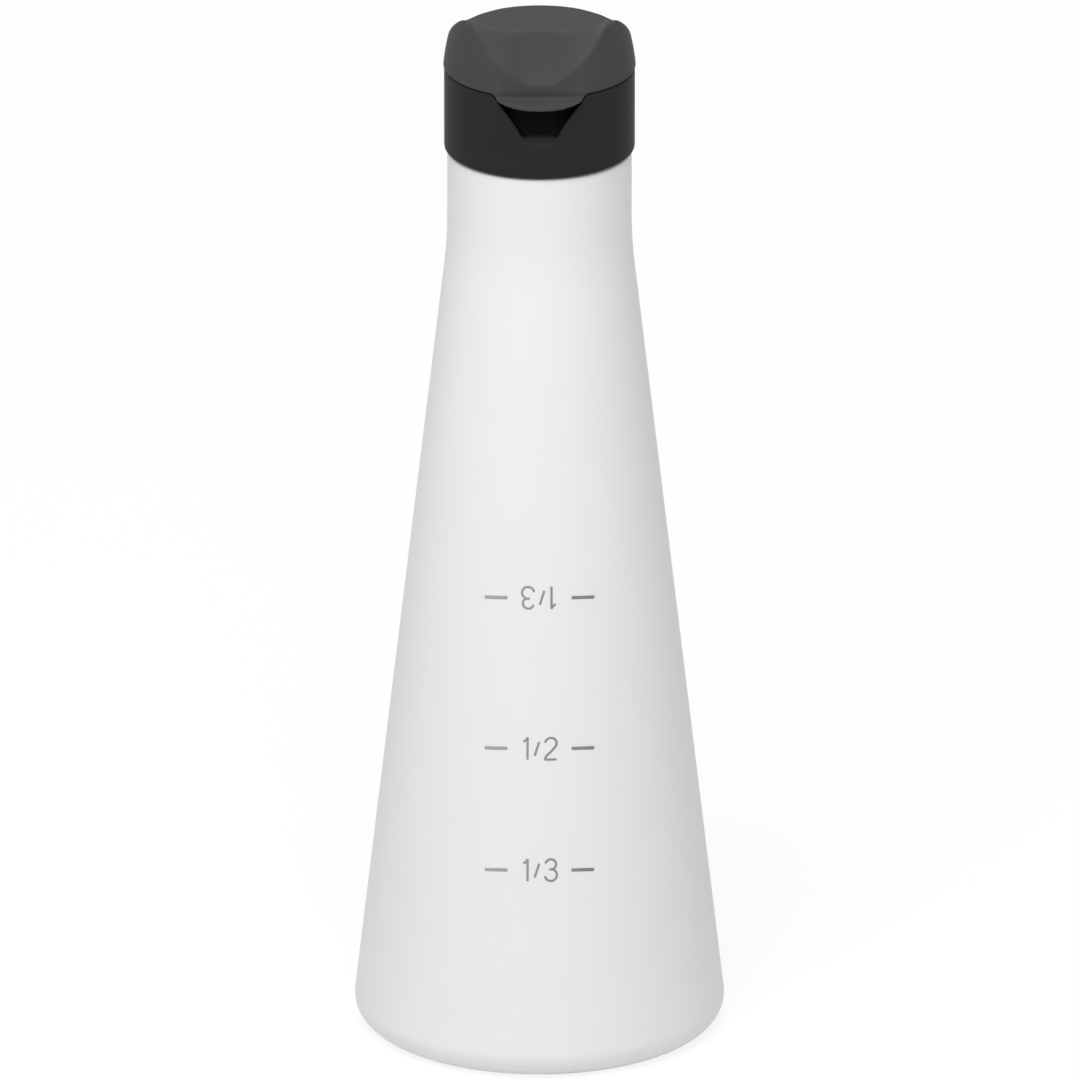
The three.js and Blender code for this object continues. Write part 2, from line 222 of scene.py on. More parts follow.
def joined(a: Value, b: Value, softness: float) -> Socket:
    """Two bodies as one, with a hollow fillet of some width where they meet."""
    return net_of((a, b)).maths("SMOOTH_MIN", a, b, softness)


def common(a: Value, b: Value, softness: float) -> Socket:
    """What two bodies share, with an edge rounded over some width."""
    return net_of((a, b)).maths("SMOOTH_MAX", a, b, softness)


def rounded(a: Value, b: Value, radius: float) -> Socket:
    """What two bodies share, with a corner of a set radius where they cross."""
    inner_a, inner_b = a + radius, b + radius
    outside = length(greatest(inner_a, 0.0), greatest(inner_b, 0.0))
    return least(greatest(inner_a, inner_b), 0.0) + outside - radius


def span(low: Value, value: Value, high: Value) -> Socket:
    """How far a coordinate lies outside a span, negative inside it."""
    return greatest(low - value, value - high)


@dataclass(frozen=True)
class CapSizes:
    """Sizes of the cap in millimetres, heights counted from the split between lid and base."""

    split: float = 178.4
    split_gap: float = 0.2
    split_edge: float = 0.2
    cap_radius: float = 16.7
    cap_wall: float = 1.0
    cap_height: float = 15.0
    cap_edge: float = 0.7
    deck_recess: float = 2.0
    deck_thickness: float = 1.4
    deck_fillet: float = 0.35
    skirt_bore: float = 13.95
    skirt_wall: float = 1.0
    skirt_rise: float = 1.5
    skirt_edge: float = 0.25
    plug_radius: float = 10.7
    plug_depth: float = 2.3
    plug_wall: float = 0.9
    plug_taper: float = 0.2
    plug_taper_share: float = 0.6
    plug_edge: float = 0.25
    orifice_radius: float = 1.6
    orifice_edge: float = 0.25
    spout_tip_radius: float = 2.7
    spout_foot_radius: float = 4.2
    spout_rise: float = 1.3
    spout_edge: float = 0.35
    spout_fillet: float = 0.5
    recess_radius: float = 14.7
    recess_height: float = 8.7
    recess_half_width: float = 8.5
    recess_knee_height: float = 6.6
    recess_knee_half_width: float = 3.6
    recess_side_power: float = 1.17
    recess_side_slope: float = 0.75
    recess_floor_slope: float = 0.7
    recess_round: float = 2.2
    recess_corner: float = 0.25
    recess_edge: float = 0.3
    recess_lean: float = 0.1
    recess_wall: float = 1.0
    recess_fillet: float = 0.15
    facet_depth: float = 15.1
    hinge_depth: float = 16.2
    notch_depth: float = 15.65
    notch_half_width: float = 5.6
    notch_half_height: float = 3.0
    notch_backing: float = 1.3
    notch_fillet: float = 0.2
    notch_edge: float = 0.15
    lid_radius: float = 16.85
    lid_taper: float = 2.2
    lid_taper_power: float = 1.46
    lid_wall: float = 1.2
    plateau_height: float = 5.4
    plateau_drop: float = 0.4
    plateau_drop_power: float = 3.0
    plateau_half_width: float = 12.0
    ear_height: float = 10.6
    ear_depth: float = -4.7
    crease_depth: float = 2.9
    scoop_front_height: float = 1.9
    scoop_front_half_width: float = 11.2
    scoop_back_half_width: float = 12.8
    scoop_power: float = 1.7
    scoop_flat: float = 0.21
    scoop_flank_slope: float = 1.03
    scoop_brow: float = 0.77
    scoop_brow_slope: float = 1.0
    scoop_reach: float = 1.2
    lip_reach: float = 2.1
    lip_half_width: float = 8.2
    lip_rise: float = 0.3
    lip_thickness: float = 1.25
    lip_edge_thickness: float = 0.7
    lip_clearance: float = 0.22
    lip_end_rise: float = 0.9
    lip_end_power: float = 3.0
    lip_fillet: float = 0.35
    pin_radius: float = 1.3
    pin_depth: float = 1.5
    pin_edge: float = 0.5
    ring_radius: float = 5.1
    ring_wall: float = 0.8
    ring_depth: float = 0.4
    ring_edge: float = 0.3


@dataclass(frozen=True)
class BottleSizes:
    """Sizes of the bottle in millimetres."""

    base_radius: float = 32.5
    heel_radius: float = 4.5
    ring_width: float = 4.0
    push_up: float = 3.0
    wall: float = 1.1
    cone_height: float = 146.1
    blend_length: float = 5.0
    upper_radius: float = 16.15
    shoulder_height: float = 163.1
    shoulder_edge: float = 0.8
    neck_radius: float = 12.6
    neck_height: float = 11.6
    neck_wall: float = 1.6
    neck_foot: float = 0.5
    neck_flare: float = 3.0
    rim_round: float = 0.4
    bore_round: float = 0.25

    def cone_angle(self) -> float:
        """The angle by which the cone leans in, tangent to the heel."""
        run = self.base_radius - self.heel_radius - self.upper_radius
        rise = self.cone_height - self.heel_radius
        return math.atan2(run, rise) + math.asin(self.heel_radius / math.hypot(run, rise))

    def cone_radius_at_base(self) -> float:
        """Where the straight cone, drawn on, would meet the base plane."""
        return self.upper_radius + self.cone_height * math.tan(self.cone_angle())


def blank_material(name: str) -> tuple[bpy.types.Material, Net, Socket]:
    """A new material with its empty net and its Object coordinates."""
    material = bpy.data.materials.new(name)
    material.use_nodes = True
    net = Net(material.node_tree)
    return material, net, net.out(net.node("ShaderNodeTexCoord"), "Object")


@dataclass(frozen=True)
class PlasticFinish:
    """A moulded plastic: its colour, its gloss and the grain that the mould left."""

    name: str
    colour: Colour
    drift: float
    roughness: float
    grain_mm: float
    grain_depth: float
    roughness_drift: float = 0.03
    grain_roughness: float = 0.06
    bump_strength: float = 0.35
    cloud_scale: float = 70.0
    subsurface: float = 0.0
    subsurface_mm: float = 1.0
    specular: float = 0.05
    sheen: float = 0.4

    def build(self) -> bpy.types.Material:
        """Makes the material.

        Returns:
            The node-based material.
        """
        material, net, place = blank_material(self.name)
        cloud = net.noise(place, self.cloud_scale, 3.0, 0.5)
        grain = net.noise(place, 1.0 / (self.grain_mm * MM), 2.0, 0.5)
        # random tone drift, times any painted shade that the finish puts in
        drift_and_painted_shade = (1.0 + (cloud - 0.5) * (2.0 * self.drift)) * self._painted_shade(net, place)
        tint = net.node(
            "ShaderNodeVectorMath", {"operation": "SCALE"}, {0: self.colour, "Scale": drift_and_painted_shade}
        )
        rough = self.roughness + (cloud - 0.5) * (2.0 * self.roughness_drift)
        rough = rough + (grain - 0.5) * self.grain_roughness
        relief = {
            "Strength": self.bump_strength,
            "Distance": self.grain_depth * MM,
            "Height": grain,
        }
        shader = net.node(
            "ShaderNodeBsdfPrincipled",
            {"subsurface_method": "RANDOM_WALK"},
            {
                "Base Color": net.out(tint, "Vector"),
                "Roughness": rough,
                "Normal": net.out(net.node("ShaderNodeBump", None, relief)),
                "Specular IOR Level": self.specular,
                "Specular Tint": (self.sheen, self.sheen, self.sheen, 1.0),
                "Subsurface Weight": self.subsurface,
                "Subsurface Radius": (1.0, 1.0, 1.0),
                "Subsurface Scale": self.subsurface_mm * MM,
            },
        )
        net.node("ShaderNodeOutputMaterial", None, {"Surface": net.out(shader)})
        return material

    def _painted_shade(self, net: Net, place: Socket) -> Value:
        """How much of the plastic's brightness painted shade leaves at a place, 1 where no shade is
        painted.
        """
        return 1.0


@dataclass(frozen=True)
class RecessPaintedShadeFinish(PlasticFinish):
    """A plastic with shade painted darker inside the thumb recess, sizes in millimetres."""

    wall_radius: float = 16.5
    fade: float = 0.5
    front: float = 11.0
    floor_height: float = 170.55
    # share of the black taken away as painted shade inside the recess
    depth: float = 0.8

    def _painted_shade(self, net: Net, place: Socket) -> Value:
        """How bright the plastic is at a place: 1 on the open wall, less inside the recess, where
        shade is painted in.
        """
        x, y, z = net.in_mm(place)
        within = ((self.wall_radius - length(x, y)) / self.fade).share()
        ahead = ((-y - self.front) / self.fade).share()
        above = ((z - self.floor_height) / self.fade).share()
        # painted shade: the base colour is darkened inside the thumb recess, where the lip's shadow
        # falls
        return 1.0 - within * ahead * above * self.depth


@dataclass(frozen=True)
class InkFinish:
    """Thin grey print that covers unevenly, with painted light and shade: lighter on the left,
    darker to the right.
    """

    name: str
    left_grey: float
    right_grey: float
    half_span_mm: float = 9.0
    patch_scale: float = 900.0
    patchiness: float = 0.5
    roughness: float = 0.5

    def build(self) -> bpy.types.Material:
        """Makes the material.

        Returns:
            The node-based material.
        """
        material, net, place = blank_material(self.name)
        across, _, _ = net.in_mm(place)
        patches = (net.noise(place, self.patch_scale, 3.0, 0.6) - 0.5) * self.patchiness
        along = across * (0.5 / self.half_span_mm) + 0.5 + patches
        # painted light and shade: the grey runs from lighter on the lit left to darker on the
        # shaded right
        colour = net.ramp(along, (self.left_grey,) * 3, (self.right_grey,) * 3)
        shader = net.node(
            "ShaderNodeBsdfPrincipled", None, {"Base Color": colour, "Roughness": self.roughness}
        )
        net.node("ShaderNodeOutputMaterial", None, {"Surface": net.out(shader)})
        return material


class Finishes:
    """Every finish on the object, each made once."""

    def __init__(self) -> None:
        """Builds the materials."""
        self.bottle = PlasticFinish(
            name="natural_white_plastic",
            colour=(0.83, 0.83, 0.83),
            drift=0.012,
            roughness=0.48,
            grain_mm=0.9,
            grain_depth=0.01,
            subsurface=0.12,
            subsurface_mm=2.0,
            specular=0.15,
            sheen=1.0,
        ).build()
        # the cap's black has painted shade that darkens it inside the thumb recess
        self.cap = RecessPaintedShadeFinish(
            name="black_satin_plastic_painted_recess_shade",
            colour=(0.025, 0.025, 0.025),
            drift=0.08,
            roughness=0.5,
            grain_mm=0.22,
            grain_depth=0.012,
        ).build()
        self.lid = PlasticFinish(
            name="black_grained_plastic",
            colour=(0.062, 0.062, 0.062),
            drift=0.06,
            roughness=0.52,
            grain_mm=0.26,
            grain_depth=0.016,
        ).build()
        # the print's grey runs from light to dark across the bottle as painted light and shade
        self.ink = InkFinish("grey_print_with_painted_side_shade", left_grey=0.36, right_grey=0.20).build()


def tidy(obj: bpy.types.Object, merge_mm: float) -> None:
    """Closes seams and poles and turns every face outwards.

    Args:
        obj: the mesh object.
        merge_mm: points closer than this become one.
    """
    mesh = bmesh.new()
    mesh.from_mesh(obj.data)
    bmesh.ops.remove_doubles(mesh, verts=mesh.verts, dist=merge_mm * MM)
    bmesh.ops.dissolve_degenerate(mesh, edges=mesh.edges, dist=merge_mm * MM / 10)
    bmesh.ops.recalc_face_normals(mesh, faces=mesh.faces)
    mesh.to_mesh(obj.data)
    mesh.free()


def linked(name: str, data: bpy.types.ID) -> bpy.types.Object:
    """A new object of some data, at the origin of the scene."""
    obj = bpy.data.objects.new(name, data)
    bpy.context.scene.collection.objects.link(obj)
    return obj


def keep(obj: bpy.types.Object, body: Body) -> None:
    """Puts a finished piece on its body.

    Args:
        obj: the piece.
        body: the body that it moves with.
    """
    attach(obj, body.value)
    LOG.info("%s: %d faces on %s", obj.name, len(obj.data.polygons), body.value)


class ShapeTree:
    """A geometry tree with named inputs, its result made a plain mesh."""

    def __init__(self, name: str, inputs: dict[str, float]) -> None:
        """Starts the tree.

        Args:
            name: the tree's name, and the piece's.
            inputs: its named sizes, in millimetres, turns or counts.
        """
        self.name = name
        self.values = inputs
        self.tree = bpy.data.node_groups.new(name, "GeometryNodeTree")
        self.net = Net(self.tree)
        face = self.tree.interface
        face.new_socket("Geometry", in_out="INPUT", socket_type="NodeSocketGeometry")
        self.identifiers = {
            key: face.new_socket(key, in_out="INPUT", socket_type="NodeSocketFloat").identifier
            for key in inputs
        }
        face.new_socket("Geometry", in_out="OUTPUT", socket_type="NodeSocketGeometry")
        self.entry = self.net.node("NodeGroupInput")

    def size(self, key: str) -> Socket:
        """A named input, or the geometry that comes in, as a Socket."""
        return self.net.out(self.entry, key)

    def position(self) -> tuple[Socket, ...]:
        """Each point's place, in millimetres."""
        return self.net.in_mm(self.net.out(self.net.node("GeometryNodeInputPosition")))

    def swept(self, path: Socket, section: Socket, capped: bool = False) -> Socket:
        """The surface that a section draws along a path."""
        inputs = {"Curve": path, "Profile Curve": section, "Fill Caps": capped}
        return self.net.out(self.net.node("GeometryNodeCurveToMesh", None, inputs))

    def circle(self, resolution: Value, radius: Value) -> Socket:
        """A circle with a number of points and a radius in millimetres."""
        inputs = {"Resolution": resolution, "Radius": radius * MM}
        return self.net.out(self.net.node("GeometryNodeCurvePrimitiveCircle", None, inputs))

    def outline(self) -> Socket:
        """The chain of edges that comes in, as a curve."""
        inputs = {"Mesh": self.size("Geometry")}
        return self.net.out(self.net.node("GeometryNodeMeshToCurve", None, inputs))

    def placed(self, geometry: Socket, x: Value, y: Value, z: Value) -> Socket:
        """Puts each point of a geometry at X, Y and Z, given in millimetres."""
        net = self.net
        place = net.node("ShaderNodeCombineXYZ", None, {"X": x * MM, "Y": y * MM, "Z": z * MM})
        inputs = {"Geometry": geometry, "Position": net.out(place)}
        return net.out(net.node("GeometryNodeSetPosition", None, inputs))

    def isosurface(self, distance: Socket, low: Vector, high: Vector, voxel: float) -> Socket:
        """The surface where a distance is 0, negative inside the body.

        Args:
            distance: the distance at each point, in millimetres.
            low: lowest corner of the room searched, in millimetres.
            high: highest corner of it.
            voxel: the grid's step in millimetres.

        Returns:
            The closed surface.
        """
        grid = {"Density": -distance, "Background": -1.0}
        grid.update({"Min": tuple(low * MM), "Max": tuple(high * MM)})
        for axis, start, end in zip("XYZ", low, high):
            grid[f"Resolution {axis}"] = int((end - start) / voxel)
        cloud = self.net.node("GeometryNodeVolumeCube", None, grid)
        inputs = {"Volume": self.net.out(cloud), "Threshold": 0.0}
        return self.net.out(self.net.node("GeometryNodeVolumeToMesh", None, inputs))

    def finish(
        self,
        result: Socket,
        material: bpy.types.Material,
        base: bpy.types.Mesh | None = None,
        merge_mm: float = 0.002,
    ) -> bpy.types.Object:
        """Ends the tree, runs it and keeps its result as a plain mesh.

        Args:
            result: the geometry to keep.
            material: its finish.
            base: the mesh that the tree starts from, if it needs one.
            merge_mm: points closer than this become one.

        Returns:
            The finished object, at the origin and with no modifier.
        """
        net = self.net
        smooth = net.node("GeometryNodeSetShadeSmooth", None, {"Geometry": result})
        real = net.node("GeometryNodeRealizeInstances", None, {0: net.out(smooth)})
        inputs = {"Geometry": net.out(real), "Material": material}
        dressed = net.node("GeometryNodeSetMaterial", None, inputs)
        net.node("NodeGroupOutput", None, {0: net.out(dressed)})
        holder = linked(self.name, base or bpy.data.meshes.new(self.name))
        modifier = holder.modifiers.new(self.name, "NODES")
        modifier.node_group = self.tree
        for key, identifier in self.identifiers.items():
            modifier[identifier] = float(self.values[key])
        graph = bpy.context.evaluated_depsgraph_get()
        made = bpy.data.meshes.new_from_object(holder.evaluated_get(graph), depsgraph=graph)
        made.name = self.name
        holder.modifiers.remove(modifier)
        holder.data = made
        if material.name not in [m.name for m in made.materials if m]:
            made.materials.append(material)
        tidy(holder, merge_mm)
        return holder


def arc(middle: Point, radius: float, start: float, end: float, steps: int) -> list[Point]:
    """Points along an arc.

    Args:
        middle: its middle.
        radius: its radius.
        start: first angle in radians.
        end: last angle.
        steps: how many stretches it has.

    Returns:
        The points, both ends among them.
    """
    angles = [start + (end - start) * i / steps for i in range(steps + 1)]
    return [
        (middle[0] + radius * math.cos(angle), middle[1] + radius * math.sin(angle))
        for angle in angles
    ]


def bend(start: Point, pull: Point, end: Point, steps: int) -> list[Point]:
    """Points along a quadratic curve.

    Args:
        start: first point.
        pull: the point that the curve is drawn towards.
        end: last point.
        steps: how many stretches it has.

    Returns:
        The points, both ends among them.
    """
    corners = list(zip(start, pull, end))
    shares = [i / steps for i in range(steps + 1)]
    return [
        tuple((1 - t) ** 2 * a + 2 * t * (1 - t) * b + t * t * c for a, b, c in corners)
        for t in shares
    ]


def stretch(start: Point, end: Point, steps: int) -> list[Point]:
    """Evenly spaced points along a straight line, both ends among them."""
    (x, y), (dx, dy) = start, (end[0] - start[0], end[1] - start[1])
    return [(x + dx * i / steps, y + dy * i / steps) for i in range(steps + 1)]


def chains(name: str, lines: Iterable[Sequence[Sequence[float]]]) -> bpy.types.Mesh:
    """A mesh with one chain of edges through each list of points.

    Args:
        name: the mesh's name.
        lines: lists of (X, Y, Z) points in millimetres.

    Returns:
        The mesh, without faces.
    """
    points: list[tuple[float, ...]] = []
    edges: list[tuple[int, int]] = []
    for line in lines:
        first = len(points)
        points += [tuple(value * MM for value in point) for point in line]
        edges += [(i, i + 1) for i in range(first, len(points) - 1)]
    mesh = bpy.data.meshes.new(name)
    mesh.from_pydata(points, edges, [])
    return mesh


@dataclass
class Turning:
    """A section of (radius, height) points, turned about the bottle's axis by a geometry tree."""

    name: str
    section: Sequence[Point]
    segments: int
    path_radius: float = 10.0

    def build(self, material: bpy.types.Material) -> bpy.types.Object:
        """Turns the section, its radius counted from the path and its heights downwards.

        Args:
            material: the piece's finish.

        Returns:
            The closed round piece.
        """
        shape = ShapeTree(self.name, {"Segments": self.segments})
        circle = shape.circle(shape.size("Segments"), self.path_radius)
        line = [(r - self.path_radius, -z, 0.0) for r, z in self.section]
        turned = shape.swept(circle, shape.outline())
        return shape.finish(turned, material, chains(self.name, [line]))


@dataclass
class Thread:
    """A screw thread in millimetres that follows a helix and fades out at both ends."""

    name: str
    radius: float
    low: float
    turns: float
    half_width: float
    inward: bool = False
    pitch: float = 4.2
    crest: float = 0.95
    sunk_share: float = 0.15
    fade: float = 0.12
    fade_softness: float = 0.2
    steps: int = 200
    steps_round: int = 17

    def build(self, material: bpy.types.Material) -> bpy.types.Object:
        """Sweeps the thread's section along its helix.

        Args:
            material: the piece's finish.

        Returns:
            The thread's mesh.
        """
        shape = ShapeTree(
            self.name,
            {
                "Root radius": self.radius,
                "Crest height": self.crest,
                "Half width": self.half_width,
                "Pitch": self.pitch,
                "Turns": self.turns,
                "Start height": self.low,
            },
        )
        net = shape.net
        inputs = {"Size X": MM, "Size Y": MM}
        inputs.update({"Vertices X": self.steps, "Vertices Y": self.steps_round})
        grid = net.out(net.node("GeometryNodeMeshGrid", None, inputs), "Mesh")
        x, y, _ = shape.position()
        along = x + 0.5
        around = (y + 0.5) * (2.0 * math.pi)
        turned = along * shape.size("Turns")
        angle = turned * (2.0 * math.pi)
        ends = least(along, 1.0 - along)
        grown = joined(ends * (1.0 / self.fade), 1.0, self.fade_softness)
        across = net.maths("COSINE", around) * shape.size("Half width") * grown
        lift = greatest(net.maths("SINE", around) * grown, -self.sunk_share)
        crest = lift * shape.size("Crest height")
        reach = shape.size("Root radius") + crest * (-1.0 if self.inward else 1.0)
        height = shape.size("Start height") + turned * shape.size("Pitch") + across
        sides = (reach * net.maths(name, angle) for name in ("COSINE", "SINE"))
        return shape.finish(shape.placed(grid, *sides, height), material)


@dataclass
class Bottle:
    """The blow-moulded bottle with the thread on its neck."""

    finishes: Finishes
    sizes: BottleSizes = field(default_factory=BottleSizes)
    segments: int = 224
    thread_sink: float = 0.05
    thread_rise: float = 3.2
    thread_turns: float = 1.4
    thread_half_width: float = 1.0

    def build(self) -> None:
        """Builds the shell and the thread."""
        s = self.sizes
        finish = self.finishes.bottle
        shell = Turning("bottle_shell", self._section(), self.segments).build(finish)
        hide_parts("bottle")
        keep(shell, Body.BOTTLE)
        thread = Thread(
            "neck_thread",
            radius=s.neck_radius - self.thread_sink,
            low=s.shoulder_height + self.thread_rise,
            turns=self.thread_turns,
            half_width=self.thread_half_width,
        ).build(finish)
        keep(thread, Body.BOTTLE)

    def _section(self) -> list[Point]:
        """The shell's section, from the middle of the base outside to the middle of it inside."""
        s = self.sizes
        angle = s.cone_angle()
        middle = s.base_radius - s.heel_radius
        ring = middle - s.ring_width
        outer, inner = self._flank(0.0), self._flank(s.wall)
        foot, top = s.shoulder_height, s.shoulder_height + s.neck_height
        bore = s.neck_radius - s.neck_wall
        inner_radius = s.upper_radius - s.wall
        under = foot - s.wall
        edge = (s.upper_radius, foot - s.shoulder_edge)
        neck = (s.neck_radius + s.neck_foot, foot)
        points = bend((0.0, s.push_up), (ring / 2, s.push_up), (ring, 0.0), 20)
        points += stretch((ring, 0.0), (middle, 0.0), 3)
        points += arc((middle, s.heel_radius), s.heel_radius, -math.pi / 2, angle, 18)
        points += outer
        points += stretch(outer[-1], edge, 8)
        points += bend(edge, (s.upper_radius, foot), (s.upper_radius - s.shoulder_edge, foot), 6)
        points += stretch(points[-1], neck, 2)
        points += bend(neck, (s.neck_radius, foot), (s.neck_radius, foot + s.neck_foot), 4)
        points += stretch(points[-1], (s.neck_radius, top - s.rim_round), 6)
        rim = (s.neck_radius - s.rim_round, top - s.rim_round)
        points += arc(rim, s.rim_round, 0.0, math.pi / 2, 4)
        rim = (bore + s.bore_round, top - s.bore_round)
        points += arc(rim, s.bore_round, math.pi / 2, math.pi, 3)
        points += stretch(points[-1], (bore, under), 6)
        flare = (inner_radius, under - s.neck_flare)
        points += bend((bore, under), (inner_radius, under), flare, 8)
        points += reversed(inner)
        points += arc((middle, s.heel_radius), s.heel_radius - s.wall, angle, -math.pi / 2, 12)
        points += stretch((middle, s.wall), (ring, s.wall), 2)
        crown = s.push_up + s.wall
        points += bend((ring, s.wall), (ring / 2, crown), (0.0, crown), 12)
        return [p for i, p in enumerate(points) if i == 0 or math.dist(p, points[i - 1]) > 1e-4]

    def _flank(self, inset: float) -> list[Point]:
        """The cone and its softened meeting with the straight upper body.

        Args:
            inset: how far inside the outer surface it runs.

        Returns:
            Points from the heel upwards.
        """
        s = self.sizes
        angle = s.cone_angle()
        rise, aside = math.cos(angle), math.sin(angle)
        radius = s.upper_radius - inset
        meet = s.cone_height - inset * math.tan(angle / 2)
        reach = s.heel_radius - inset
        foot = (s.base_radius - s.heel_radius + reach * rise, s.heel_radius + reach * aside)
        low = (radius + s.blend_length * aside, meet - s.blend_length * rise)
        high = (radius, meet + s.blend_length)
        return stretch(foot, low, 40) + bend(low, (radius, meet), high, 12)


class Glyph(Enum):
    """The generic figures of the fill marks."""

    ONE = "1"
    TWO = "2"
    THREE = "3"
    SLASH = "/"


class Facing(Enum):
    """Which way up a row of figures is printed."""

    UPRIGHT = 1
    INVERTED = -1


@dataclass
class FillMarks:
    """The rows of generic fill marks printed on the bottle's front, sizes in millimetres."""

    finishes: Finishes
    bottle: BottleSizes = field(default_factory=BottleSizes)
    rows: tuple[tuple[float, Glyph, Facing], ...] = (
        (87.4, Glyph.THREE, Facing.INVERTED),
        (60.3, Glyph.TWO, Facing.UPRIGHT),
        (38.4, Glyph.THREE, Facing.UPRIGHT),
    )
    figure_middles: tuple[float, float, float] = (-2.1, -0.42, 2.0)
    figure_height: float = 4.0
    figure_stroke: float = 0.42
    dash_stroke: float = 0.6
    dash_start: float = 5.62
    dash_end: float = 9.6
    dash_bow: float = 0.28
    lift: float = 0.012
    flatness: float = 0.12
    merge: float = 0.0005

    def build(self) -> None:
        """Prints the figures and the dashes."""
        figures: list[list[Point]] = []
        dashes: list[list[Point]] = []
        for height, last, facing in self.rows:
            way = facing.value
            for middle, glyph in zip(self.figure_middles, (Glyph.ONE, Glyph.SLASH, last)):
                for stroke in self._strokes(glyph):
                    lifted = [((middle + x) * way, height + z * way) for x, z in stroke]
                    figures.append(lifted)
            for side in (-1, 1):
                line = stretch((side * self.dash_start, 0.0), (side * self.dash_end, 0.0), 10)
                dashes.append([(x, height - self._droop(x, height)) for x, _ in line])
        for name, strokes, width in (
            ("mark_figures", figures, self.figure_stroke),
            ("mark_dashes", dashes, self.dash_stroke),
        ):
            keep(self._print(name, strokes, width), Body.BOTTLE)

    def _droop(self, x: float, height: float) -> float:
        """How far a dash bows down away from the middle, so that it looks level from above."""
        radius = self.bottle.cone_radius_at_base() - height * math.tan(self.bottle.cone_angle())
        return (radius - math.sqrt(radius**2 - x**2)) * self.dash_bow

    def _strokes(self, glyph: Glyph) -> list[list[Point]]:
        """The strokes of one figure.

        Args:
            glyph: the figure.

        Returns:
            One list of points for each stroke, counted from the figure's middle.
        """
        tall = self.figure_height
        if glyph is Glyph.ONE:
            stem = stretch((0.0, 0.0), (0.0, tall), 8)
            strokes = [stem, bend((0.0, tall), (-0.15, tall * 0.86), (-0.75, tall * 0.8), 6)]
        elif glyph is Glyph.SLASH:
            strokes = [stretch((-0.42, tall * 0.18), (0.36, tall * 0.8), 6)]
        elif glyph is Glyph.TWO:
            bowl = arc((0.0, tall - 1.08), 1.0, math.radians(172), math.radians(-28), 14)
            slope = bend(bowl[-1], (0.35, tall * 0.42), (-0.62, tall * 0.22), 6)
            foot = bend(slope[-1], (-1.0, tall * 0.13), (-1.02, 0.02), 4)
            strokes = [bowl + slope[1:] + foot[1:] + stretch(foot[-1], (1.02, 0.02), 6)[1:]]
        else:
            upper = arc((-0.02, tall * 0.755), 0.93, math.radians(168), math.radians(-62), 14)
            lower = arc((0.0, tall * 0.275), 1.06, math.radians(66), math.radians(-172), 16)
            waist = stretch((-0.3, tall * 0.535), (0.42, tall * 0.535), 3)
            strokes = [upper + waist[-1:], waist[-1:] + lower, waist]
        return [[(x, z - tall / 2) for x, z in stroke] for stroke in strokes]

    def _print(self, name: str, strokes: list[list[Point]], width: float) -> bpy.types.Object:
        """Lays strokes on the cone as a thin raised film.

        Args:
            name: the piece's name.
            strokes: lists of (X, height) points.
            width: the stroke's width.

        Returns:
            The print's mesh.
        """
        mesh = chains(name, [[(x, 0.0, z) for x, z in stroke] for stroke in strokes])
        shape = ShapeTree(
            name,
            {
                "Stroke width": width,
                "Base radius": self.bottle.cone_radius_at_base(),
                "Cone slope": math.tan(self.bottle.cone_angle()),
                "Lift": self.lift,
                "Flatness": self.flatness,
            },
        )
        section = shape.circle(12, shape.size("Stroke width") * 0.5)
        swept = shape.swept(shape.outline(), section, capped=True)
        x, y, z = shape.position()
        radius = shape.size("Base radius") - z * shape.size("Cone slope")
        depth = shape.net.maths("SQRT", radius * radius - x * x)
        wrapped = y * shape.size("Flatness") - shape.size("Lift") - depth
        film = shape.placed(swept, x, wrapped, z)
        return shape.finish(film, self.finishes.ink, mesh, self.merge)


@dataclass(frozen=True)
class Spot:
    """Where a point of the cap lies, in millimetres, and the rules that cap and lid share."""

    sizes: CapSizes
    shape: ShapeTree
    x: Socket
    y: Socket
    w: Socket
    r: Socket

    @classmethod
    def of(cls, shape: ShapeTree, sizes: CapSizes) -> "Spot":
        """Every point: X across, Y in depth, w above the split, r from the axis."""
        x, y, z = shape.position()
        return cls(sizes, shape, x, y, z - sizes.split, length(x, y))

    def recess_side(self) -> Socket:
        """How far it lies outside the thumb recess's sides, seen from the front."""
        s = self.sizes
        knee = s.recess_knee_half_width
        down = (-self.w / s.recess_knee_height).share()
        half = knee + (1.0 - down) ** s.recess_side_power * (s.recess_half_width - knee)
        return (abs(self.x) - half) * s.recess_side_slope

    def recess(self, margin: float) -> Socket:
        """How far it lies outside the room cut for the thumb, grown by a margin."""
        s = self.sizes
        side = self.recess_side() - margin
        floor = (s.cap_radius - self.r) * s.recess_floor_slope - self.shape.size("Recess height")
        room = rounded(side, floor - margin - self.w, s.recess_round)
        lean = (self.w + s.recess_height / 2) * s.recess_lean
        back = self.shape.size("Recess radius") - lean - margin - self.r
        return greatest(common(room, back, s.recess_corner), self.y)

    def hinge_notch(self) -> Socket:
        """How far it lies outside the pocket that the hinge film sits in."""
        s = self.sizes
        return greatest(
            abs(self.x) - s.notch_half_width,
            s.notch_depth - self.y,
            abs(self.w) - s.notch_half_height,
        )


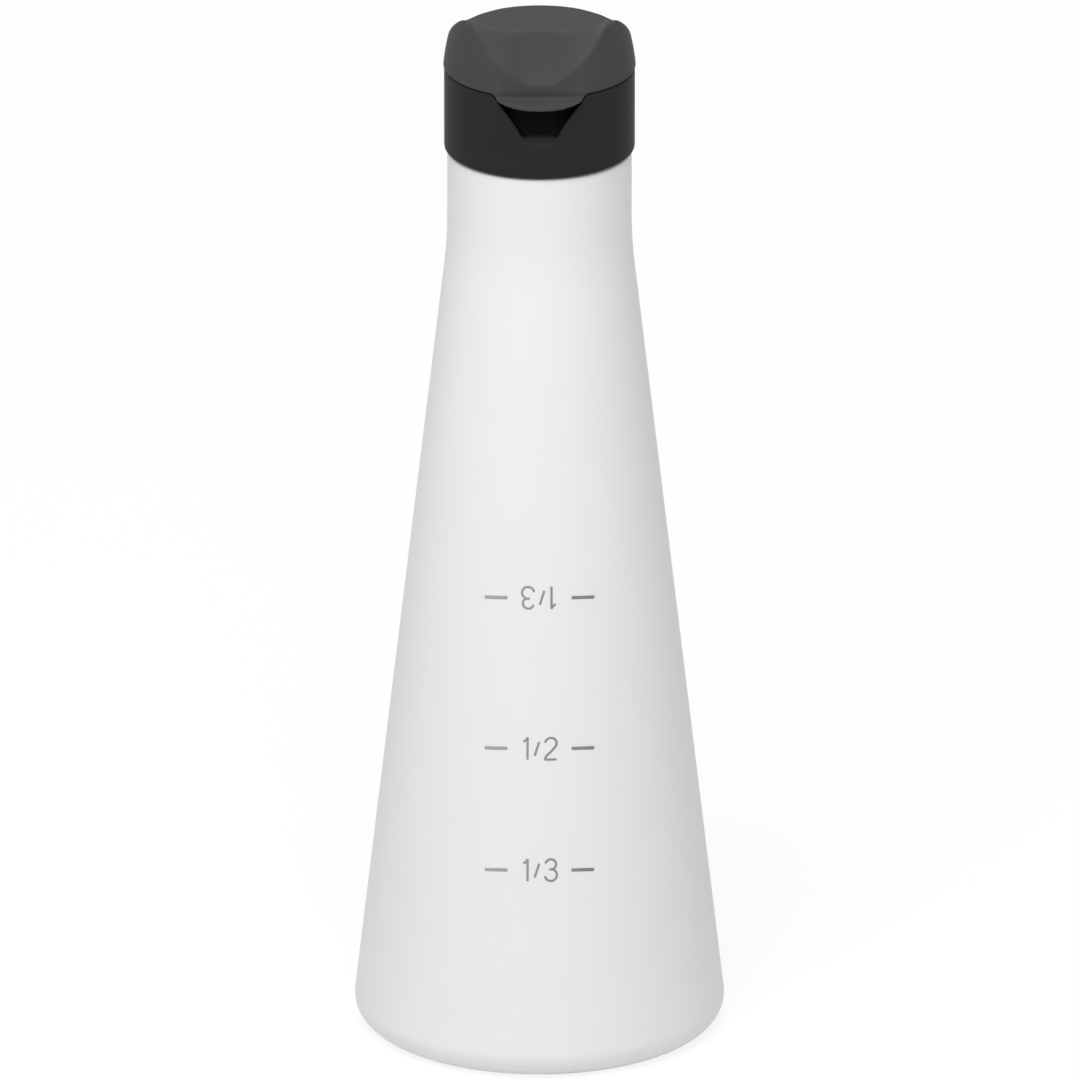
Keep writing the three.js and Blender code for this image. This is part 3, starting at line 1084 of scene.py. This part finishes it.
@dataclass
class CapBase:
    """The screw-on part of the cap: outer shell with the thumb recess, deck, spout and threads."""

    finishes: Finishes
    sizes: CapSizes = field(default_factory=CapSizes)
    voxel: float = 0.24
    skirt_voxel: float = 0.26
    skirt_setback: float = 0.06
    skirt_ring_edge: float = 0.1
    room: float = 1.0
    skirt_room: float = 0.6
    segments: int = 160
    thread_sink: float = 0.05
    thread_rise: float = 4.9
    thread_turns: float = 1.3
    thread_half_width: float = 0.75

    def build(self) -> None:
        """Builds the shell, the skirt, the plug and the skirt's thread."""
        s = self.sizes
        finish = self.finishes.cap
        shell = self._shell()
        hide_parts("cap_base")
        plug = Turning("neck_plug", self._plug_section(), self.segments)
        thread = Thread(
            "cap_thread",
            radius=s.skirt_bore + self.thread_sink,
            low=s.split - s.cap_height + self.thread_rise,
            turns=self.thread_turns,
            half_width=self.thread_half_width,
            inward=True,
        )
        for piece in (shell, self._skirt(), plug.build(finish), thread.build(finish)):
            keep(piece, Body.CAP)

    def _shell(self) -> bpy.types.Object:
        """The outer wall, deck and spout as one body with softened edges."""
        s = self.sizes
        shape = ShapeTree(
            "cap_shell",
            {
                "Cap radius": s.cap_radius,
                "Cap height": s.cap_height,
                "Recess radius": s.recess_radius,
                "Recess height": s.recess_height,
            },
        )
        p = Spot.of(shape, s)
        outer = p.r - shape.size("Cap radius")
        body = common(outer, -shape.size("Cap height") - p.w, s.cap_edge)
        body = common(body, p.w + s.split_gap / 2, s.split_edge)
        wall = greatest(body, (s.cap_radius - s.cap_wall) - p.r)
        inside = p.r - (s.cap_radius - s.cap_wall / 2)
        deck = greatest(inside, span(-s.deck_recess - s.deck_thickness, p.w, -s.deck_recess))
        backing = greatest(
            inside,
            span(s.notch_depth - s.notch_backing, p.y, s.cap_radius),
            abs(p.x) - (s.notch_half_width + s.notch_backing),
            span(-s.notch_half_height - s.notch_backing, p.w, -s.split_gap / 2),
        )
        surround = greatest(
            p.recess(s.recess_wall),
            (s.skirt_bore + s.recess_radius) / 2 - p.r,
            inside,
            p.w + s.deck_recess + s.deck_thickness / 2,
        )
        shell = joined(wall, deck, s.deck_fillet)
        shell = joined(shell, backing, s.notch_fillet)
        shell = joined(shell, surround, s.recess_fillet)
        shell = common(shell, -p.recess(0.0), s.recess_edge)
        shell = common(shell, -p.hinge_notch(), s.notch_edge)
        shell = joined(shell, self._spout(p), s.spout_fillet)
        orifice = greatest(p.r - s.orifice_radius, p.w - s.ear_height)
        shell = common(shell, -orifice, s.orifice_edge)
        reach = s.cap_radius + self.room
        low = Vector((-reach, -reach, s.split - s.cap_height - self.room))
        high = Vector((reach, reach, s.split + s.spout_rise + self.room))
        return shape.finish(shape.isosurface(shell, low, high, self.voxel), self.finishes.cap)

    def _spout(self, p: Spot) -> Socket:
        """The distance to the cone that the product leaves through."""
        s = self.sizes
        lean = (s.spout_foot_radius - s.spout_tip_radius) / (s.spout_rise + s.deck_recess)
        side = p.r - s.spout_foot_radius + (p.w + s.deck_recess) * lean
        ends = span(-s.deck_recess - s.deck_thickness, p.w, s.spout_rise)
        return common(side, ends, s.spout_edge)

    def _skirt(self) -> bpy.types.Object:
        """The threaded skirt inside the outer wall, thinned where the thumb recess meets it."""
        s = self.sizes
        low = -s.cap_height + s.skirt_rise
        high = -s.deck_recess - s.deck_thickness / 2
        shape = ShapeTree(
            "cap_skirt",
            {
                "Skirt bore": s.skirt_bore,
                "Skirt wall": s.skirt_wall,
                "Recess radius": s.recess_radius,
                "Recess height": s.recess_height,
            },
        )
        p = Spot.of(shape, s)
        bore = shape.size("Skirt bore")
        ring = common(p.r - bore - shape.size("Skirt wall"), bore - p.r, self.skirt_ring_edge)
        ring = common(ring, span(low, p.w, high), s.skirt_edge)
        ring = common(ring, -p.recess(self.skirt_setback), s.recess_fillet)
        reach = s.skirt_bore + s.skirt_wall + self.skirt_room
        surface = shape.isosurface(
            ring,
            Vector((-reach, -reach, s.split + low - self.skirt_room)),
            Vector((reach, reach, s.split + high + self.skirt_room)),
            self.skirt_voxel,
        )
        return shape.finish(surface, self.finishes.cap)

    def _plug_section(self) -> list[Point]:
        """The closed section of the ring that seals the neck's bore."""
        s = self.sizes
        edge = s.plug_edge
        high = s.split - s.deck_recess - s.deck_thickness / 2
        low = s.split - s.deck_recess - s.deck_thickness - s.plug_depth
        inner = s.plug_radius - s.plug_wall
        outer = s.plug_radius - s.plug_taper
        points = arc((inner + edge, low + edge), edge, math.pi, 1.5 * math.pi, 4)
        points += arc((outer - edge, low + edge), edge, -math.pi / 2, 0.0, 4)
        points.append((s.plug_radius, low + s.plug_depth * s.plug_taper_share))
        return [*points, (s.plug_radius, high), (inner, high), points[0]]


@dataclass
class FlipLid:
    """The hinged lid: low flat back, scooped front between two ears, thumb lip, hollow inside."""

    finishes: Finishes
    sizes: CapSizes = field(default_factory=CapSizes)
    voxel: float = 0.215
    room: float = 0.6
    room_below: float = 0.4
    slope_step: float = 0.15
    rim_edge: float = 0.15
    top_edge: float = 0.45
    facet_edge: float = 1.2
    hollow_edge: float = 0.3
    hollow_rim_edge: float = 0.12
    seal_fillet: float = 0.15
    lip_edges: tuple[float, float, float] = (0.3, 0.25, 0.2)
    wedge_softness: float = 0.8
    scoop_softness: float = 0.6
    flank_softness: float = 0.24
    brow_softness: float = 0.12
    crease_power: int = 12

    def build(self) -> None:
        """Builds the lid as one body with softened edges."""
        s = self.sizes
        shape = ShapeTree(
            "lid_shell",
            {
                "Lid radius": s.lid_radius,
                "Plateau height": s.plateau_height,
                "Ear height": s.ear_height,
                "Scoop front height": s.scoop_front_height,
                "Scoop front half width": s.scoop_front_half_width,
                "Scoop back half width": s.scoop_back_half_width,
            },
        )
        p = Spot.of(shape, s)
        share = greatest(p.w, 0.0) / shape.size("Ear height")
        side = p.r - (shape.size("Lid radius") - share**s.lid_taper_power * s.lid_taper)
        top = self._above_top(p)
        outside = common(side, s.split_gap / 2 - p.w, self.rim_edge)
        outside = common(outside, -s.facet_depth - p.y, self.facet_edge)
        outside = common(outside, top, self.top_edge)
        hollow = common(side + s.lid_wall, top + s.lid_wall, self.hollow_edge)
        hollow = common(hollow, s.lid_wall - s.facet_depth - p.y, self.hollow_edge)
        hollow = common(hollow, p.y - s.notch_depth + s.notch_backing, self.hollow_edge)
        lid = common(outside, -hollow, self.hollow_rim_edge)
        lid = joined(lid, greatest(self._seals(p), top + s.lid_wall / 2), self.seal_fillet)
        lid = joined(lid, self._lip(p), s.lip_fillet)
        lid = common(lid, -p.hinge_notch(), s.notch_edge)
        reach = s.lid_radius + self.room
        front = s.cap_radius + s.lip_reach + self.room
        low = Vector((-reach, -front, s.split - s.deck_recess - self.room_below))
        high = Vector((reach, reach, s.split + s.ear_height + self.room))
        surface = shape.isosurface(lid, low, high, self.voxel)
        obj = shape.finish(surface, self.finishes.lid)
        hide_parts("flip_lid")
        keep(obj, Body.LID)

    def _top(self, shape: ShapeTree, x: Value, y: Value) -> Socket:
        """Height of the lid's top above the split.

        Args:
            shape: the tree, for its named sizes.
            x: place across.
            y: place in depth.

        Returns:
            The height.
        """
        s = self.sizes
        ear = shape.size("Ear height")
        off = least(abs(x) / s.plateau_half_width, 1.0)
        plateau = shape.size("Plateau height") - off**s.plateau_drop_power * s.plateau_drop
        front = shape.size("Scoop front height")
        slope = (s.ear_height - s.plateau_height) / (s.crease_depth - s.ear_depth)
        before = greatest(s.crease_depth - y, 0.0)
        wedge = joined(plateau + before * slope, ear, self.wedge_softness)
        along = ((y + s.facet_depth) / (s.crease_depth + s.facet_depth)).share()
        floor = front + (plateau - front) * along**s.scoop_power
        half = shape.size("Scoop front half width") * (1.0 - along)
        half = half + shape.size("Scoop back half width") * along
        across = least(abs(x) / half, s.scoop_reach)
        flank = common(across - s.scoop_flat, 0.0, self.flank_softness) * s.scoop_flank_slope
        brow = common(across - s.scoop_brow, 0.0, self.brow_softness) * s.scoop_brow_slope
        scoop = floor + (ear - floor) * (flank + brow)
        blended = joined(wedge, scoop, self.scoop_softness)
        behind = along**self.crease_power
        return blended * (1.0 - behind) + plateau * behind

    def _above_top(self, p: Spot) -> Socket:
        """How far a point lies above the lid's top, measured square to it."""
        step = self.slope_step
        height = self._top(p.shape, p.x, p.y)
        across = (self._top(p.shape, p.x + step, p.y) - height) / step
        along = (self._top(p.shape, p.x, p.y + step) - height) / step
        return (p.w - height) / p.shape.net.maths("SQRT", across * across + along * along + 1.0)

    def _seals(self, p: Spot) -> Socket:
        """The pin in the orifice and the ring round the spout."""
        s = self.sizes
        pin = common(p.r - s.pin_radius, -s.pin_depth - p.w, s.pin_edge)
        ring = abs(p.r - s.ring_radius) - s.ring_wall / 2
        return least(pin, common(ring, -s.ring_depth - p.w, s.ring_edge))

    def _lip(self, p: Spot) -> Socket:
        """The thumb lip and the apron that carries it."""
        s = self.sizes
        front = s.cap_radius + s.lip_reach
        sag = front - math.sqrt(s.cap_radius**2 - s.lip_half_width**2)
        radius = (s.lip_half_width**2 + sag**2) / (2 * sag)
        low = s.lip_rise - s.deck_recess
        fall = (s.lip_thickness - s.lip_edge_thickness) / (front - s.facet_depth)
        out = greatest(-p.y - s.facet_depth, 0.0)
        plan = length(p.x, p.y + (front - radius)) - radius
        upper = p.w - (low + s.lip_thickness) + out * fall
        ends = p.recess_side() + s.lip_clearance
        off = least(abs(p.x) / s.lip_half_width, 1.0)
        under = low + off**s.lip_end_power * s.lip_end_rise
        plate = plan
        for face, edge in zip((upper, under - p.w, ends), self.lip_edges):
            plate = common(plate, face, edge)
        plate = greatest(plate, p.y + s.facet_depth - s.lid_wall)
        apron = greatest(
            abs(p.x) - s.lip_half_width,
            span(-s.facet_depth, p.y, -s.facet_depth + s.lid_wall),
            span(under, p.w, s.lid_wall),
            p.r - s.cap_radius,
            ends,
        )
        return least(plate, apron)


@dataclass
class HingeFilm:
    """The thin film that bends when the lid opens, thinnest along the hinge line."""

    finishes: Finishes
    sizes: CapSizes = field(default_factory=CapSizes)
    half_width: float = 5.3
    half_height: float = 2.6
    leaf: float = 0.42
    neck: float = 0.24
    bend_reach: float = 0.7
    columns: int = 12
    rows: int = 52

    def build(self) -> None:
        """Builds the film between the cap base and the lid."""
        s = self.sizes
        sizes = {"Leaf": self.leaf, "Neck": self.neck, "Bend reach": self.bend_reach}
        shape = ShapeTree("hinge_film", sizes)
        net = shape.net
        slab = {"Size": (2 * self.half_width * MM, MM, 2 * self.half_height * MM)}
        slab.update({"Vertices X": self.columns + 1, "Vertices Y": 2, "Vertices Z": self.rows + 1})
        sheet = net.out(net.node("GeometryNodeMeshCube", None, slab), "Mesh")
        x, y, z = shape.position()
        near = z / shape.size("Bend reach")
        leaf, neck = shape.size("Leaf"), shape.size("Neck")
        thickness = leaf + (neck - leaf) * net.maths("EXPONENT", -(near * near))
        film = shape.placed(sheet, x, s.hinge_depth + y * thickness, z + s.split)
        obj = shape.finish(film, self.finishes.cap)
        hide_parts("living_hinge")
        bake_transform(obj)
        LOG.info("%s: bends between %s and %s", obj.name, Body.CAP.value, Body.LID.value)


@dataclass
class Studio:
    """Camera, lamp, background and floor. Rows and columns are those of the picture."""

    elevation: float = 21.0
    distance: float = 9.0
    pixel_mm: float = 0.1756
    image: float = 1080.0
    base_row: float = 1015.7
    axis_column: float = 539.5
    sensor: float = 36.0
    clip_end: float = 30.0
    lamp_place: tuple[float, float, float] = (-0.16, -0.80, 1.35)
    lamp_aim: tuple[float, float, float] = (0.0, 0.0, 0.1)
    lamp_size: float = 1.1
    lamp_power: float = 20.0
    sky_grey: float = 0.92
    sky_strength: float = 0.38
    floor_grey: float = 0.95
    floor_glow: float = 0.86
    floor_half: float = 3.0
    floor_drop_mm: float = 0.1

    def build(self) -> None:
        """Sets up the whole stage."""
        self._camera()
        self._lamp()
        self._world()
        self._floor()
        bpy.context.scene.view_settings.view_transform = "Standard"

    def _camera(self) -> None:
        """A long lens at the picture's viewing angle."""
        angle = math.radians(self.elevation)
        rise = (self.base_row - self.image / 2) * self.pixel_mm / math.cos(angle)
        aside = (self.image / 2 - self.axis_column) * self.pixel_mm
        away = Vector((0.0, -math.cos(angle), math.sin(angle)))
        data = bpy.data.cameras.new("camera")
        data.sensor_width = self.sensor
        data.sensor_fit = "HORIZONTAL"
        data.lens = self.sensor * self.distance / (self.image * self.pixel_mm * MM)
        data.clip_end = self.clip_end
        camera = linked("camera", data)
        camera.location = Vector((aside, 0.0, rise)) * MM + away * self.distance
        camera.rotation_euler = (math.pi / 2 - angle, 0.0, 0.0)
        bpy.context.scene.camera = camera

    def _lamp(self) -> None:
        """One broad soft lamp high to the front left, pointing at the bottle's middle."""
        data = bpy.data.lights.new("key_softbox", "AREA")
        data.shape = "SQUARE"
        data.size = self.lamp_size
        data.energy = self.lamp_power
        lamp = linked("key_softbox", data)
        lamp.location = self.lamp_place
        aim = Vector(self.lamp_aim) - Vector(self.lamp_place)
        lamp.rotation_euler = aim.to_track_quat("-Z", "Y").to_euler()

    def _world(self) -> None:
        """Even pale light, white where the camera, a gloss or a glass looks at it."""
        world = bpy.data.worlds.new("studio")
        bpy.context.scene.world = world
        world.use_nodes = True
        net = Net(world.node_tree)
        plain, white = (
            net.node("ShaderNodeBackground", None, {"Color": (*[grey] * 3, 1.0), "Strength": power})
            for grey, power in ((self.sky_grey, self.sky_strength), (1.0, 1.0))
        )
        inputs = {0: net.looked_at(), 1: net.out(plain), 2: net.out(white)}
        mixed = net.node("ShaderNodeMixShader", None, inputs)
        net.node("ShaderNodeOutputWorld", None, {"Surface": net.out(mixed)})

    def _floor(self) -> None:
        """A pale floor that keeps a soft shadow."""
        material, net, _ = blank_material("pale_floor")
        colour = (*[self.floor_grey] * 3, 1.0)
        matt = net.node("ShaderNodeBsdfDiffuse", None, {"Color": colour, "Roughness": 1.0})
        glow = net.node("ShaderNodeEmission", None, {"Color": (1.0,) * 4, "Strength": 1.0})
        inputs = {0: net.looked_at() * self.floor_glow, 1: net.out(matt), 2: net.out(glow)}
        mixed = net.node("ShaderNodeMixShader", None, inputs)
        net.node("ShaderNodeOutputMaterial", None, {"Surface": net.out(mixed)})
        data = bpy.data.meshes.new("floor")
        corners = [(-1, -1), (1, -1), (1, 1), (-1, 1)]
        half, low = self.floor_half, -self.floor_drop_mm * MM
        data.from_pydata([(x * half, y * half, low) for x, y in corners], [], [(0, 1, 2, 3)])
        data.materials.append(material)
        linked("floor", data)


def main() -> None:
    """Builds every piece in order."""
    logging.basicConfig(level=logging.INFO, format="%(name)s: %(message)s")
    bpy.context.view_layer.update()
    Studio().build()
    finishes = Finishes()
    Bottle(finishes).build()
    FillMarks(finishes).build()
    CapBase(finishes).build()
    FlipLid(finishes).build()
    HingeFilm(finishes).build()


if __name__ == "__main__":
    main()
